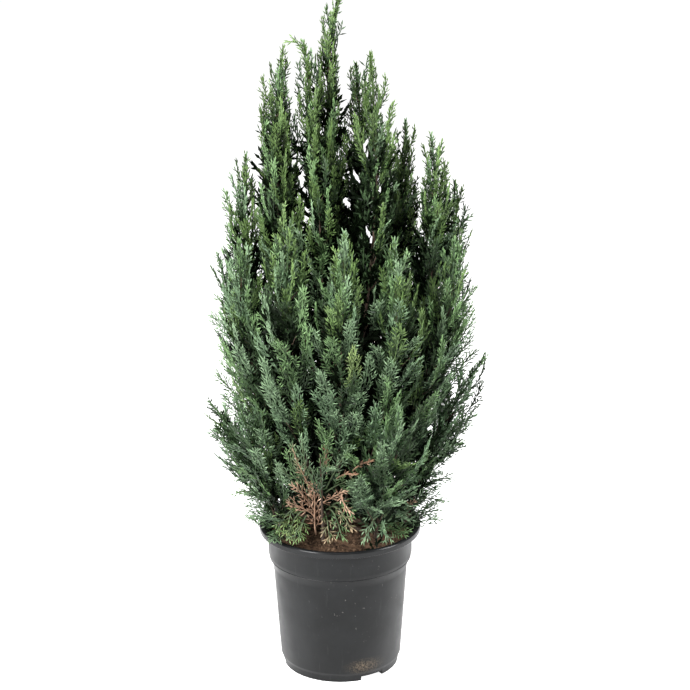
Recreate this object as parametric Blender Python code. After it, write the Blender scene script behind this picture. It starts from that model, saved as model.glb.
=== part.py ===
"""Potted Lawson cypress: a narrow, many-spired garden conifer in a black nursery pot.

Frame: +Z up, the pot stands on z = 0 with its axis on the Z axis, -Y is the front, +X is to the
right seen from the front. Metres throughout. A bearing is counted in degrees round the trunk,
0 at the front, 90 at the right.
"""
import math

import bmesh
import bpy
from mathutils import Vector, noise

# Clearances
TOUCH = 0.0003              # between pieces that rest on or in each other
MASS_GAP = 0.004            # between neighbouring masses of foliage
LIMB_ROOM = 0.002           # between a mass and a limb that only passes it

# Pot: radii and heights of the turned wall
POT_SIDES = 32
PAD_RADIUS = 0.020
PAD_EDGE = 0.002
FLOOR_UNDERSIDE = 0.0080
FOOT_INNER = 0.0745
FOOT_OUTER = 0.0825
FOOT_TOP = 0.0105
FOOT_TOP_RADIUS = 0.0836
WALL_FOOT = 0.0150
WALL_FOOT_RADIUS = 0.0862
SHOULDER_LOW = 0.1500
SHOULDER_LOW_RADIUS = 0.0957
SHOULDER_TOP = 0.1700
SHOULDER_STEPS = 2
COLLAR_RADIUS = 0.1026
LIP_UNDERSIDE = 0.2035
LIP_TOP = 0.2130
LIP_RADIUS = 0.1150
LIP_INNER = 0.1095
LIP_ROUND = 0.0020
WALL = 0.0020

# Drainage: notches through the foot and holes in the floor
NOTCH_BEARINGS = (33, 153, 273)
NOTCH_WIDTH = 0.036
NOTCH_DEPTH = 0.024
NOTCH_HEIGHT = 0.0066
HOLE_COUNT = 4
HOLE_FIRST_BEARING = 45
HOLE_SIDES = 8
HOLE_RADIUS = 0.006
HOLE_CIRCLE = 0.048

# Soil: a plug that fills the pot to just under the lip, raised towards the trunk
SOIL_EDGE = 0.1985
SOIL_CENTRE = 0.2045
SOIL_FLAT = 0.030
SOIL_ROUGH = 0.0016
SOIL_LUMPS = 60             # how close together the lumps lie
SOIL_RINGS = 2

# Trunk: tapering from a flared foot to a thin tip inside the leader
TRUNK_SIDES = 8
TRUNK_RINGS = 11
TRUNK_CROWDING = 1.5        # how far the rings are drawn together towards the flare
TRUNK_TIP = 0.900
TRUNK_FOOT_RADIUS = 0.0105
TRUNK_TIP_RADIUS = 0.0018
FLARE = 0.0055
FLARE_HEIGHT = 0.012
TRUNK_LEAN = -0.0100
TRUNK_SWAY = 0.0030

# Boughs: thickness at the trunk, and what is left of it at the far end
BOUGH_SIDES = 5
BOUGH_RINGS = 5
BOUGH_TAPER = 0.62
BOUGH_LEAVES = (0.45, 0.22)     # shares of its way out and up that steer it away from the trunk
BOUGH_ARRIVES = (0.12, 0.42)    # and, counted back from its far end, into its mass
BOUGH_LOOK = 0.02               # share of the path over which its direction is taken
FORK_STEP = 0.012           # neighbouring boughs leave the trunk at stepped heights
FORK_STEPS = 4

# Masses: rings of points at common heights, and how uneven each ring is
RING_POINTS = 9
LEVEL = 0.027
LEVEL_CLEAR = 0.4           # a ring keeps this share of a level from the foot and the tip
UNEVEN = 0.24
UNEVEN_ROUND = 1.6
UNEVEN_UP = 15.0
BROAD = 1.40                # a plume is this much broader round the crown than it is deep
WIDEST_AT = 0.38            # share of a plume's height at which it is widest
FOOT_FULL = 0.55            # how fast a plume swells from its foot
FOOT_BLEND = 3              # how soon the foot's own width gives way to the swell
LIMB_SLANT = 1.6            # a level cut through a leaning limb is this much wider than the limb
GLANCING = 0.05             # a neighbour limits only the directions that face it by more than this
SEED_BEARING = 0.37         # where a plume's unevenness is read, from its bearing, width and height
SEED_WIDTH = 900
SEED_HEIGHT = 50

# Tiers of plumes: where a bough leaves the trunk (fork) and reaches its mass (reach, foot_height),
# how far from the axis the mass has its foot, how wide the foot starts, and how full the tip is
# (a higher power is a thinner tip)
TIERS = {
    "skirt": dict(fork=0.2130, fork_step=0.0, reach=0.072, foot_height=0.2240, foot=0.099,
                  foot_share=0.80, tip_full=0.75, bough=0.0038),
    "flank": dict(fork=0.2440, fork_step=FORK_STEP, reach=0.078, foot_height=0.3240, foot=0.080,
                  foot_share=0.40, tip_full=0.75, bough=0.0056),
    "upper": dict(fork=0.3800, fork_step=FORK_STEP, reach=0.046, foot_height=0.4880, foot=0.046,
                  foot_share=0.36, tip_full=0.90, bough=0.0044),
}

# Plumes: tier, bearing of the foot, tip (right, back, up), half-width, and how far from the axis
# the plume would belly out; dead marks the brown one
PLUMES = {
    "left_spire": ("upper", -88, (-0.071, -0.030, 0.893), 0.041, 0.106),
    "bent_spire": ("upper", -28, (-0.043, -0.022, 0.899), 0.021, 0.028),
    "right_spire": ("upper", 42, (0.045, -0.025, 0.884), 0.034, 0.080),
    "right_shoulder": ("upper", 92, (0.092, 0.015, 0.784), 0.035, 0.090),
    "rear_right_spire": ("upper", 140, (0.026, 0.050, 0.856), 0.034, 0.076),
    "rear_spire": ("upper", 190, (-0.030, 0.068, 0.815), 0.036, 0.096),
    "rear_left_spire": ("upper", 237, (-0.088, 0.052, 0.790), 0.036, 0.096),
    "left_low": ("flank", -122, (-0.166, 0.040, 0.592), 0.041, 0.146),
    "left_outer": ("flank", -96, (-0.124, 0.012, 0.740), 0.039, 0.144),
    "left_front": ("flank", -68, (-0.132, -0.062, 0.640), 0.042, 0.150),
    "front_left": ("flank", -34, (-0.060, -0.100, 0.684), 0.042, 0.158),
    "front": ("flank", 0, (0.009, -0.128, 0.668), 0.042, 0.158),
    "front_right": ("flank", 31, (0.074, -0.116, 0.654), 0.042, 0.158),
    "right_front": ("flank", 60, (0.156, -0.060, 0.640), 0.044, 0.168),
    "right_high": ("flank", 84, (0.126, -0.008, 0.772), 0.040, 0.150),
    "right_outer": ("flank", 110, (0.160, 0.026, 0.697), 0.042, 0.166),
    "rear_right": ("flank", 142, (0.095, 0.115, 0.700), 0.046, 0.158),
    "rear": ("flank", 178, (0.005, 0.140, 0.664), 0.046, 0.158),
    "rear_left": ("flank", 210, (-0.095, 0.112, 0.688), 0.046, 0.158),
    "skirt_left": ("skirt", -98, (-0.180, 0.000, 0.392), 0.050, 0.112),
    "skirt_front_left": ("skirt", -56, (-0.138, -0.098, 0.430), 0.052, 0.126),
    "skirt_dead": ("skirt", -13, (-0.026, -0.150, 0.372), 0.044, 0.120),
    "skirt_front_right": ("skirt", 30, (0.080, -0.142, 0.430), 0.052, 0.126),
    "skirt_right": ("skirt", 77, (0.199, -0.020, 0.462), 0.050, 0.116),
    "skirt_rear_right": ("skirt", 126, (0.134, 0.114, 0.440), 0.052, 0.126),
    "skirt_rear": ("skirt", 174, (0.010, 0.174, 0.440), 0.052, 0.126),
    "skirt_rear_left": ("skirt", 218, (-0.126, 0.120, 0.440), 0.052, 0.126),
}
LEADER_FOOT = 0.610
LEADER_TIP = Vector((0.002, 0.0, 0.954))
LEADER_HALF_WIDTH = 0.034
LEADER_FOOT_SHARE = 0.45
LEADER_TIP_FULL = 1.15
LEADER_SEED = Vector((3.1, 4.7, 1.9))

# Colours (linear), roughness
FINISHES = {
    "pot_plastic": ((0.045, 0.047, 0.049, 1.0), 0.42),
    "potting_soil": ((0.075, 0.043, 0.024, 1.0), 0.95),
    "bark": ((0.110, 0.060, 0.038, 1.0), 0.85),
    "foliage": ((0.060, 0.150, 0.075, 1.0), 0.60),
    "dead_foliage": ((0.370, 0.190, 0.105, 1.0), 0.70),
}


def clear_scene():
    """Take every object out of the scene."""
    for thing in list(bpy.data.objects):
        bpy.data.objects.remove(thing, do_unlink=True)


def finish(kind, node):
    """A material of one of the finishes, for one node."""
    colour, roughness = FINISHES[kind]
    material = bpy.data.materials.new(f"{kind}_{node}")
    material.use_nodes = True
    shader = material.node_tree.nodes["Principled BSDF"]
    shader.inputs["Base Color"].default_value = colour
    shader.inputs["Roughness"].default_value = roughness
    shader.inputs["Metallic"].default_value = 0.0
    material.diffuse_color = colour
    return material


def add_node(name, mesh_builder, kind):
    """Turn a bmesh into an object of its own, with its faces pointing out."""
    bmesh.ops.recalc_face_normals(mesh_builder, faces=mesh_builder.faces)
    mesh = bpy.data.meshes.new(name)
    mesh_builder.to_mesh(mesh)
    mesh_builder.free()
    node = bpy.data.objects.new(name, mesh)
    node.data.materials.append(finish(kind, name))
    bpy.context.collection.objects.link(node)
    return node


def shade_round(node, degrees=40):
    """Smooth shading, sharp at the corners that the real piece has."""
    node.data.shade_smooth()
    node.data.set_sharp_from_angle(angle=math.radians(degrees))


def make_cutter(name, mesh_builder):
    """An object that only shapes others."""
    cutter = add_node(name, mesh_builder, "bark")
    cutter.hide_render = True
    cutter.display_type = "WIRE"
    return cutter


def cut(node, cutter):
    """Take the cutter's shape out of the node."""
    boolean = node.modifiers.new(f"less_{cutter.name}", "BOOLEAN")
    boolean.operation = "DIFFERENCE"
    boolean.solver = "EXACT"
    boolean.object = cutter


def outward(bearing):
    """Level unit vector that points away from the axis at a bearing."""
    angle = math.radians(bearing)
    return Vector((math.sin(angle), -math.cos(angle), 0.0))


def loft(rings, tip=None):
    """A closed skin over rings of equal count, with a flat first end and a flat or pointed last."""
    skin = bmesh.new()
    loops = [[skin.verts.new(point) for point in ring] for ring in rings]
    skin.faces.new(loops[0])
    for lower, upper in zip(loops, loops[1:]):
        for here in range(len(lower)):
            there = (here + 1) % len(lower)
            skin.faces.new((lower[here], lower[there], upper[there], upper[here]))
    if tip is None:
        skin.faces.new(loops[-1])
    else:
        apex = skin.verts.new(tip)
        for here in range(len(loops[-1])):
            there = (here + 1) % len(loops[-1])
            skin.faces.new((loops[-1][here], loops[-1][there], apex))
    return skin


def turned(profile, sides):
    """A body turned about the Z axis from a profile whose two ends lie on the axis."""
    body = bmesh.new()
    points = [body.verts.new((radius, 0.0, height)) for radius, height in profile]
    edges = [body.edges.new(pair) for pair in zip(points, points[1:])]
    bmesh.ops.spin(body, geom=points + edges, cent=(0, 0, 0), axis=(0, 0, 1),
                   angle=2 * math.pi, steps=sides, use_merge=True)
    bmesh.ops.remove_doubles(body, verts=body.verts, dist=1e-6)
    return body


def shoulder(inset):
    """The curve by which the wall widens into the collar, from its foot to its top."""
    rise = SHOULDER_TOP - SHOULDER_LOW
    widening = COLLAR_RADIUS - SHOULDER_LOW_RADIUS
    points = []
    for step in range(SHOULDER_STEPS + 1):
        share = (1 - math.cos(math.pi * step / SHOULDER_STEPS)) / 2
        points.append((SHOULDER_LOW_RADIUS - inset + widening * share,
                       SHOULDER_LOW + rise * step / SHOULDER_STEPS))
    return points


def pot_inside(clearance):
    """The pot's inner wall from the floor's edge up to the collar's top, less a clearance."""
    floor = FLOOR_UNDERSIDE + WALL + clearance
    inset = WALL + clearance
    collar = [(COLLAR_RADIUS - inset, LIP_UNDERSIDE)]
    return [(WALL_FOOT_RADIUS - inset - WALL, floor), (WALL_FOOT_RADIUS - inset, WALL_FOOT),
            *shoulder(inset), *collar]


def make_pot():
    """The nursery pot: foot ring, tapered wall, shoulder, collar and rolled lip."""
    outside = [
        (0.0, 0.0), (PAD_RADIUS, 0.0), (PAD_RADIUS + PAD_EDGE, FLOOR_UNDERSIDE),
        (FOOT_INNER - PAD_EDGE, FLOOR_UNDERSIDE), (FOOT_INNER, 0.0), (FOOT_OUTER, 0.0),
        (FOOT_TOP_RADIUS, FOOT_TOP), (WALL_FOOT_RADIUS, WALL_FOOT), *shoulder(0.0),
        (COLLAR_RADIUS, LIP_UNDERSIDE - LIP_ROUND / 2),
    ]
    lip = [
        (LIP_RADIUS - LIP_ROUND, LIP_UNDERSIDE), (LIP_RADIUS, LIP_UNDERSIDE + LIP_ROUND),
        (LIP_RADIUS, LIP_TOP - LIP_ROUND), (LIP_RADIUS - LIP_ROUND, LIP_TOP), (LIP_INNER, LIP_TOP),
    ]
    inside = list(reversed(pot_inside(0.0)))
    profile = outside + lip + inside + [(0.0, FLOOR_UNDERSIDE + WALL)]
    pot = add_node("pot", turned(profile, POT_SIDES), "pot_plastic")
    shade_round(pot)
    for number, bearing in enumerate(NOTCH_BEARINGS):
        block = bmesh.new()
        bmesh.ops.create_cube(block, size=1.0)
        size = (NOTCH_WIDTH, NOTCH_DEPTH, 2 * NOTCH_HEIGHT)
        bmesh.ops.scale(block, vec=size, verts=block.verts)
        notch = make_cutter(f"notch_cutter_{number}", block)
        notch.location = outward(bearing) * FOOT_OUTER
        notch.rotation_euler.z = math.radians(bearing)
        cut(pot, notch)
    for number in range(HOLE_COUNT):
        drill = bmesh.new()
        bmesh.ops.create_cone(drill, cap_ends=True, segments=HOLE_SIDES, radius1=HOLE_RADIUS,
                              radius2=HOLE_RADIUS, depth=4 * FLOOR_UNDERSIDE)
        hole = make_cutter(f"hole_cutter_{number}", drill)
        hole.location = outward(HOLE_FIRST_BEARING + 360 * number / HOLE_COUNT) * HOLE_CIRCLE
        cut(pot, hole)


def make_soil():
    """The soil: it follows the pot's wall, and its top is uneven, with a flat under the trunk."""
    side = [point for point in pot_inside(TOUCH) if point[1] < SOIL_EDGE]
    side.append((COLLAR_RADIUS - WALL - TOUCH, SOIL_EDGE))
    top = []
    for ring in range(1, SOIL_RINGS + 1):
        share = ring / (SOIL_RINGS + 1)
        top.append((side[-1][0] + (SOIL_FLAT - side[-1][0]) * share,
                    SOIL_EDGE + (SOIL_CENTRE - SOIL_EDGE) * share))
    profile = [(0.0, side[0][1]), *side, *top, (SOIL_FLAT, SOIL_CENTRE), (0.0, SOIL_CENTRE)]
    body = turned(profile, POT_SIDES)
    for vert in body.verts:
        away = math.hypot(vert.co.x, vert.co.y)
        if SOIL_FLAT + TOUCH < away < side[-1][0] - TOUCH and vert.co.z > SOIL_EDGE:
            vert.co.z += SOIL_ROUGH * noise.noise(vert.co * SOIL_LUMPS)
    add_node("soil", body, "potting_soil")


def trunk_axis(height):
    """Centre of the trunk at a height: a slight lean to the left with one slow sway."""
    rise = (height - SOIL_CENTRE) / (TRUNK_TIP - SOIL_CENTRE)
    return Vector((TRUNK_LEAN * rise + TRUNK_SWAY * math.sin(2 * math.pi * rise),
                   TRUNK_SWAY * math.sin(math.pi * rise), height))


def trunk_radius(height):
    """Radius of the trunk at a height, with the root flare at its foot."""
    rise = (height - SOIL_CENTRE) / (TRUNK_TIP - SOIL_CENTRE)
    straight = TRUNK_FOOT_RADIUS + (TRUNK_TIP_RADIUS - TRUNK_FOOT_RADIUS) * rise
    return straight + FLARE * math.exp(-(height - SOIL_CENTRE) / FLARE_HEIGHT)


def level_ring(centre, radius, sides):
    """Points of a level circle."""
    return [centre + outward(360 * side / sides) * radius for side in range(sides)]


def trunk_skin(extra):
    """The trunk's skin, grown outwards by extra on every side."""
    first = SOIL_CENTRE + TOUCH - extra
    rings = []
    for number in range(TRUNK_RINGS):
        share = (number / (TRUNK_RINGS - 1)) ** TRUNK_CROWDING
        height = first + (TRUNK_TIP + extra - first) * share
        centre = trunk_axis(height)
        rings.append(level_ring(centre, trunk_radius(height) + extra, TRUNK_SIDES))
    return loft(rings)


class Plume:
    """One mass of foliage and the bough that carries it."""

    def __init__(self, name, order, tier, bearing, tip, half_width, belly):
        shape = TIERS[tier]
        self.name = name
        self.foot_share = shape["foot_share"]
        self.tip_full = shape["tip_full"]
        self.broad = BROAD
        self.half_width = half_width
        self.tip = Vector(tip)
        self.low = shape["foot_height"]
        self.foot = outward(bearing) * shape["foot"]
        self.seat = trunk_axis(self.low).xy.to_3d() + outward(bearing) * shape["reach"]
        self.seat.z = self.low - TOUCH
        self.fork = trunk_axis(shape["fork"] + shape["fork_step"] * (order % FORK_STEPS))
        self.bough_radius = shape["bough"]
        towards = self.foot.xy.normalized() + self.tip.xy.normalized()
        self.belly = towards.normalized().to_3d() * belly
        self.seed = Vector((bearing * SEED_BEARING, half_width * SEED_WIDTH, self.tip.z * SEED_HEIGHT))

    def share(self, height):
        """How far up the plume a height is, from 0 at its foot to 1 at its tip."""
        return (height - self.low) / (self.tip.z - self.low)

    def centre(self, height):
        """Centre of the plume at a height, on a curve that bellies out and turns up."""
        up = min(max(self.share(height), 0.0), 1.0)
        level = self.foot * (1 - up) ** 2 + self.belly * 2 * up * (1 - up) + self.tip * up ** 2
        return Vector((level.x, level.y, height))

    def radius(self, height):
        """Half-width of the plume at a height, before its neighbours and its unevenness."""
        up = min(max(self.share(height), 0.0), 1.0)
        swell = (up / WIDEST_AT) ** FOOT_FULL * ((1 - up) / (1 - WIDEST_AT)) ** self.tip_full
        start = self.foot_share * (1 - up)
        return self.half_width * max(swell * (1 - self.foot_share * (1 - up) ** FOOT_BLEND), start)

    def bough_path(self, share):
        """Centre of the bough, from the trunk's axis (0) to the foot of the mass (1)."""
        away = (self.seat - self.fork) * Vector((1, 1, 0))
        rise = self.seat.z - self.fork.z
        leave = self.fork + away * BOUGH_LEAVES[0] + Vector((0, 0, rise * BOUGH_LEAVES[1]))
        arrive = self.seat - away * BOUGH_ARRIVES[0] - Vector((0, 0, rise * BOUGH_ARRIVES[1]))
        rest = 1 - share
        return (self.fork * rest ** 3 + leave * 3 * rest ** 2 * share
                + arrive * 3 * rest * share ** 2 + self.seat * share ** 3)

    def bough_at(self, height):
        """Where the bough crosses a height, or nothing."""
        if not self.fork.z <= height <= self.seat.z + TOUCH:
            return None
        low, high = 0.0, 1.0
        for _ in range(20):
            middle = (low + high) / 2
            if self.bough_path(middle).z < height:
                low = middle
            else:
                high = middle
        return self.bough_path(low)


class Leader(Plume):
    """The mass at the top, which stands round the trunk's own tip."""

    def __init__(self):
        self.name = "leader"
        self.foot_share = LEADER_FOOT_SHARE
        self.tip_full = LEADER_TIP_FULL
        self.broad = 1.0
        self.half_width = LEADER_HALF_WIDTH
        self.tip = LEADER_TIP
        self.low = LEADER_FOOT
        self.seed = LEADER_SEED

    def centre(self, height):
        if height <= TRUNK_TIP:
            return trunk_axis(height)
        share = (height - TRUNK_TIP) / (self.tip.z - TRUNK_TIP)
        middle = trunk_axis(TRUNK_TIP).lerp(self.tip, share)
        return Vector((middle.x, middle.y, height))

    def bough_at(self, height):
        return None


def limits_at(plume, others, height):
    """Level half-planes that keep a plume off its neighbours, the trunk and the other boughs."""
    centre = plume.centre(height)
    own = plume.radius(height)
    limits = []
    for other in others:
        if other is plume:
            continue
        if other.low - LEVEL < height < other.tip.z + LEVEL:
            apart = other.centre(height) - centre
            share = own / (own + other.radius(height) + 1e-6)
            limits.append((apart.normalized(), apart.length * share - MASS_GAP / 2))
        limb = other.bough_at(height)
        if limb is not None:
            apart = limb - centre
            room = LIMB_SLANT * other.bough_radius + LIMB_ROOM
            limits.append((apart.normalized(), apart.length - room))
    if not isinstance(plume, Leader):
        apart = trunk_axis(height) - centre
        limits.append((apart.normalized(), apart.length - trunk_radius(height) - LIMB_ROOM))
    return limits


def mass_ring(plume, others, height):
    """One level ring of a mass: uneven, and flat where it faces a neighbour."""
    centre = plume.centre(height)
    limits = limits_at(plume, others, height)
    round_crown = Vector((-centre.y, centre.x, 0.0)).normalized()
    ring = []
    for number in range(RING_POINTS):
        way = outward(360 * number / RING_POINTS)
        spot = way * UNEVEN_ROUND + Vector((0, 0, height * UNEVEN_UP)) + plume.seed
        reach = plume.radius(height) * (1 - UNEVEN * (0.5 + noise.noise(spot)))
        reach *= 1 + (plume.broad - 1) * way.dot(round_crown) ** 2
        for normal, room in limits:
            facing = way.dot(normal)
            if facing > GLANCING:
                reach = min(reach, room / facing)
        ring.append(centre + way * reach)
    return ring


def make_mass(plume, others):
    """The mass of foliage of one plume."""
    heights = [plume.low]
    count = int(plume.tip.z / LEVEL) + 1
    for number in range(count):
        height = number * LEVEL
        if plume.low + LEVEL_CLEAR * LEVEL < height < plume.tip.z - LEVEL_CLEAR * LEVEL:
            heights.append(height)
    rings = [mass_ring(plume, others, height) for height in heights]
    kind = "dead_foliage" if plume.name.endswith("dead") else "foliage"
    return add_node(f"foliage_{plume.name}", loft(rings, tip=plume.tip), kind)


def make_bough(plume):
    """The bough of one plume: a tapering limb that ends level, just under its mass."""
    rings = []
    for number in range(BOUGH_RINGS):
        share = number / (BOUGH_RINGS - 1)
        centre = plume.bough_path(share)
        before = max(share - BOUGH_LOOK, 0.0)
        ahead = plume.bough_path(min(share + BOUGH_LOOK, 1.0)) - plume.bough_path(before)
        if number == BOUGH_RINGS - 1:
            ahead = Vector((0, 0, 1))
        side = ahead.cross(Vector((0, 0, 1)))
        if side.length < 1e-6:
            side = (plume.seat - plume.fork).cross(Vector((0, 0, 1)))
        side.normalize()
        over = ahead.normalized().cross(side)
        radius = plume.bough_radius * (1 + (BOUGH_TAPER - 1) * share)
        ring = []
        for corner in range(BOUGH_SIDES):
            turn = 2 * math.pi * corner / BOUGH_SIDES
            ring.append(centre + (side * math.cos(turn) + over * math.sin(turn)) * radius)
        rings.append(ring)
    return add_node(f"bough_{plume.name}", loft(rings), "bark")


def make_tree():
    """Trunk, boughs and masses."""
    add_node("trunk", trunk_skin(0.0), "bark")
    trunk_room = make_cutter("trunk_cutter", trunk_skin(TOUCH))
    plumes = [Plume(name, order, *row) for order, (name, row) in enumerate(PLUMES.items())]
    leader = Leader()
    crown = plumes + [leader]
    for plume in plumes:
        cut(make_bough(plume), trunk_room)
        make_mass(plume, crown)
    cut(make_mass(leader, crown), trunk_room)


clear_scene()
make_pot()
make_soil()
make_tree()
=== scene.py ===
"""Potted Lawson cypress: a many-spired garden conifer of feathery blue-green sprays in a satin black
nursery pot, with a patch of dead twigs low on its front.

Metres, +Z up, -Y is the front. A bearing is counted in degrees round the trunk, 0 at the front and
90 at the right.
"""

import math

import bmesh
import bpy
import numpy as np
from mathutils import Matrix, Vector, noise


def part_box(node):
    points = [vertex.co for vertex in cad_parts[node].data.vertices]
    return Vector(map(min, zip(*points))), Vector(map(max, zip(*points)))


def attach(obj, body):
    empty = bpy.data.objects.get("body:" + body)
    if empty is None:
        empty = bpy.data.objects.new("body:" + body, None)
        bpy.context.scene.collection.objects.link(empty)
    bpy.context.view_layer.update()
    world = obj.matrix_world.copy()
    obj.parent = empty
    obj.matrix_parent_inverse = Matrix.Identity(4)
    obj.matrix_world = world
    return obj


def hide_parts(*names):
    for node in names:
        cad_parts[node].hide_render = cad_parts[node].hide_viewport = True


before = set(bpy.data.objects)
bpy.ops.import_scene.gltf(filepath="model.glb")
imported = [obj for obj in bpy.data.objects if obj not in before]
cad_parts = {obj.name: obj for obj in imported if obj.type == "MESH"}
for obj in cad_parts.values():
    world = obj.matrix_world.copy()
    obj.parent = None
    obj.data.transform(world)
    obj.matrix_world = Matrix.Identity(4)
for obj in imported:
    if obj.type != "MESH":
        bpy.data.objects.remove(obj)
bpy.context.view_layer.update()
ROOT = "root"


# Studio: a pale floor that runs out of view, a soft lamp on either side and one overhead, and the
# camera 2.8 m off, looking down on the plant at 18 degrees.
FLOOR_RADIUS = 40.0
FLOOR_COLOUR = (0.80, 0.80, 0.80, 1.0)
FLOOR_GLOW = 0.95
ROOM_UP = ((0.0, 0.10), (0.50, 0.22), (0.62, 0.48), (1.0, 0.50))     # light by direction, down to up
ROOM_BACK = ((0.0, 0.42), (0.45, 0.55), (0.75, 1.60), (1.0, 1.80))   # the same, front to back
CURVE_TOP = 2.0              # the room's curves hold their levels as shares of this
CAMERA_PLACE = (0.0086, -2.838, 1.400)
CAMERA_TILT = 71.98
CAMERA_ROLL = -0.33
CAMERA_LENS = 112.2
LAMPS = {
    # name: place, point it faces, width, height, watts
    "left_softbox": ((-1.75, -1.80, 1.50), (0.0, 0.0, 0.50), 1.1, 1.6, 150.0),
    "right_softbox": ((2.1, -0.6, 1.35), (0.0, 0.0, 0.50), 0.8, 1.6, 88.0),
    "overhead_softbox": ((-0.2, -0.3, 3.0), (0.0, 0.0, 0.5), 1.4, 1.2, 42.0),
}


def show(name, data, parts=()):
    """An object for finished data, such as a mesh, at the origin."""
    thing = bpy.data.objects.new(name, data)
    bpy.context.scene.collection.objects.link(thing)
    for finish in parts:
        data.materials.append(finish)
    return thing


def mesh_of(name, body):
    """The mesh of a finished bmesh."""
    mesh = bpy.data.meshes.new(name)
    body.to_mesh(mesh)
    body.free()
    return mesh


def new_finish(name, roughness, specular=0.5):
    """A material, its node tree and its shader."""
    finish = bpy.data.materials.new(name)
    finish.use_nodes = True
    shader = finish.node_tree.nodes["Principled BSDF"]
    shader.inputs["Roughness"].default_value = roughness
    shader.inputs["Specular IOR Level"].default_value = specular
    return finish, finish.node_tree, shader


def plain_finish(name, colour, roughness, specular=0.5):
    """A material of one even colour."""
    finish, _, shader = new_finish(name, roughness, specular)
    shader.inputs["Base Color"].default_value = colour
    return finish


def add_node(tree, kind, *sources, **settings):
    """A new node; its inputs, in their order, are linked to sockets, set to values or left at None."""
    node = tree.nodes.new("ShaderNode" + kind)
    for name, value in settings.items():
        setattr(node, name, value)
    for target, source in zip(node.inputs, sources):
        if isinstance(source, bpy.types.NodeSocket):
            tree.links.new(source, target)
        elif source is not None:
            target.default_value = source
    return node


def product(tree, first, second):
    return add_node(tree, "Math", first, second, operation="MULTIPLY").outputs["Value"]


def lay_floor():
    disc = bmesh.new()
    bmesh.ops.create_circle(disc, cap_ends=True, segments=96, radius=FLOOR_RADIUS)
    paper = plain_finish("floor_paper", FLOOR_COLOUR, 0.9, 0.1)
    shader = paper.node_tree.nodes["Principled BSDF"]
    shader.inputs["Emission Color"].default_value = (1.0, 1.0, 1.0, 1.0)
    shader.inputs["Emission Strength"].default_value = FLOOR_GLOW
    floor = show("studio_floor", mesh_of("studio_floor", disc), [paper])
    floor.visible_diffuse = False


def light_by_direction(tree, direction, stops):
    """Brightness of the room along one direction, from -1 to 1."""
    share = add_node(tree, "MapRange", direction, -1.0).outputs["Result"]
    scale = add_node(tree, "FloatCurve", None, share)
    curve = scale.mapping.curves[0]
    for point, (position, level) in zip(curve.points, (stops[0], stops[-1])):
        point.location = (position, level / CURVE_TOP)
    for position, level in stops[1:-1]:
        curve.points.new(position, level / CURVE_TOP)
    scale.mapping.update()
    return scale.outputs["Value"]


def light_room():
    """The room's soft light: bright behind and above the plant, dim in front and below."""
    room = bpy.data.worlds.new("studio_room")
    room.use_nodes = True
    tree = room.node_tree
    place = add_node(tree, "TexCoord").outputs["Generated"]
    parts = add_node(tree, "SeparateXYZ", place).outputs
    level = product(tree, light_by_direction(tree, parts["Z"], ROOM_UP),
                    light_by_direction(tree, parts["Y"], ROOM_BACK))
    strength = product(tree, level, CURVE_TOP ** 2)
    tree.links.new(strength, tree.nodes["Background"].inputs["Strength"])
    bpy.context.scene.world = room


def hang_lamps():
    for name, (place, aim, width, height, watts) in LAMPS.items():
        light = bpy.data.lights.new(name, "AREA")
        light.shape = "RECTANGLE"
        light.size = width
        light.size_y = height
        light.energy = watts
        lamp = show(name, light)
        lamp.location = place
        lamp.rotation_euler = (Vector(aim) - Vector(place)).to_track_quat("-Z", "Y").to_euler()
        lamp.visible_camera = False


def set_camera():
    eye = show("camera", bpy.data.cameras.new("camera"))
    eye.data.lens = CAMERA_LENS
    eye.data.clip_end = 3 * FLOOR_RADIUS
    tilt = Matrix.Rotation(math.radians(CAMERA_TILT), 4, "X")
    roll = Matrix.Rotation(math.radians(CAMERA_ROLL), 4, "Z")
    eye.matrix_world = Matrix.Translation(CAMERA_PLACE) @ tilt @ roll
    bpy.context.scene.camera = eye
    bpy.context.scene.view_settings.view_transform = "Standard"


lay_floor()
light_room()
hang_lamps()
set_camera()


# Pot: a 230 mm nursery pot, injection moulded in thin black polypropylene with a satin skin. It has a
# rolled lip, a collar, a shoulder with a fine crease under it, and a foot ring notched for drainage.
pot_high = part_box("pot")[1]
POT_SEGMENTS = 144
LIP_RADIUS = pot_high.x
LIP_TOP = pot_high.z
LIP_BAND = 0.0095
LIP_INNER = LIP_RADIUS - 0.0055
COLLAR_RADIUS = 0.1026
SHOULDER_TOP = 0.1700
SHOULDER_LOW = 0.1500
SHOULDER_LOW_RADIUS = 0.0957
CREASE = 0.1635             # the moulding line that runs round the shoulder
CREASE_PROUD = 0.0007
CREASE_HALF = 0.0005
WALL_FOOT = 0.0150
WALL_FOOT_RADIUS = 0.0862
FOOT_TOP = 0.0105
FOOT_TOP_RADIUS = 0.0836
FOOT_OUTER = 0.0825
FOOT_INNER = 0.0745
FLOOR_UNDERSIDE = 0.0080
PAD_RADIUS = 0.0200
WALL = 0.0020
NOTCH_BEARINGS = (33, 153, 273)
NOTCH_SIZE = (0.036, 0.024, 0.0132)
HOLE_BEARINGS = (45, 135, 225, 315)
HOLE_RADIUS = 0.006
HOLE_CIRCLE = 0.048


def outward(bearing):
    """Level unit vector that points away from the trunk at a bearing."""
    angle = math.radians(bearing)
    return Vector((math.sin(angle), -math.cos(angle), 0.0))


def quarter_round(centre, radius, first, last, steps=5):
    """Points (radius from the axis, height) on an arc of the profile, between two angles."""
    points = []
    for step in range(steps + 1):
        angle = math.radians(first + (last - first) * step / steps)
        points.append((centre[0] + radius * math.cos(angle), centre[1] + radius * math.sin(angle)))
    return points


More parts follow.
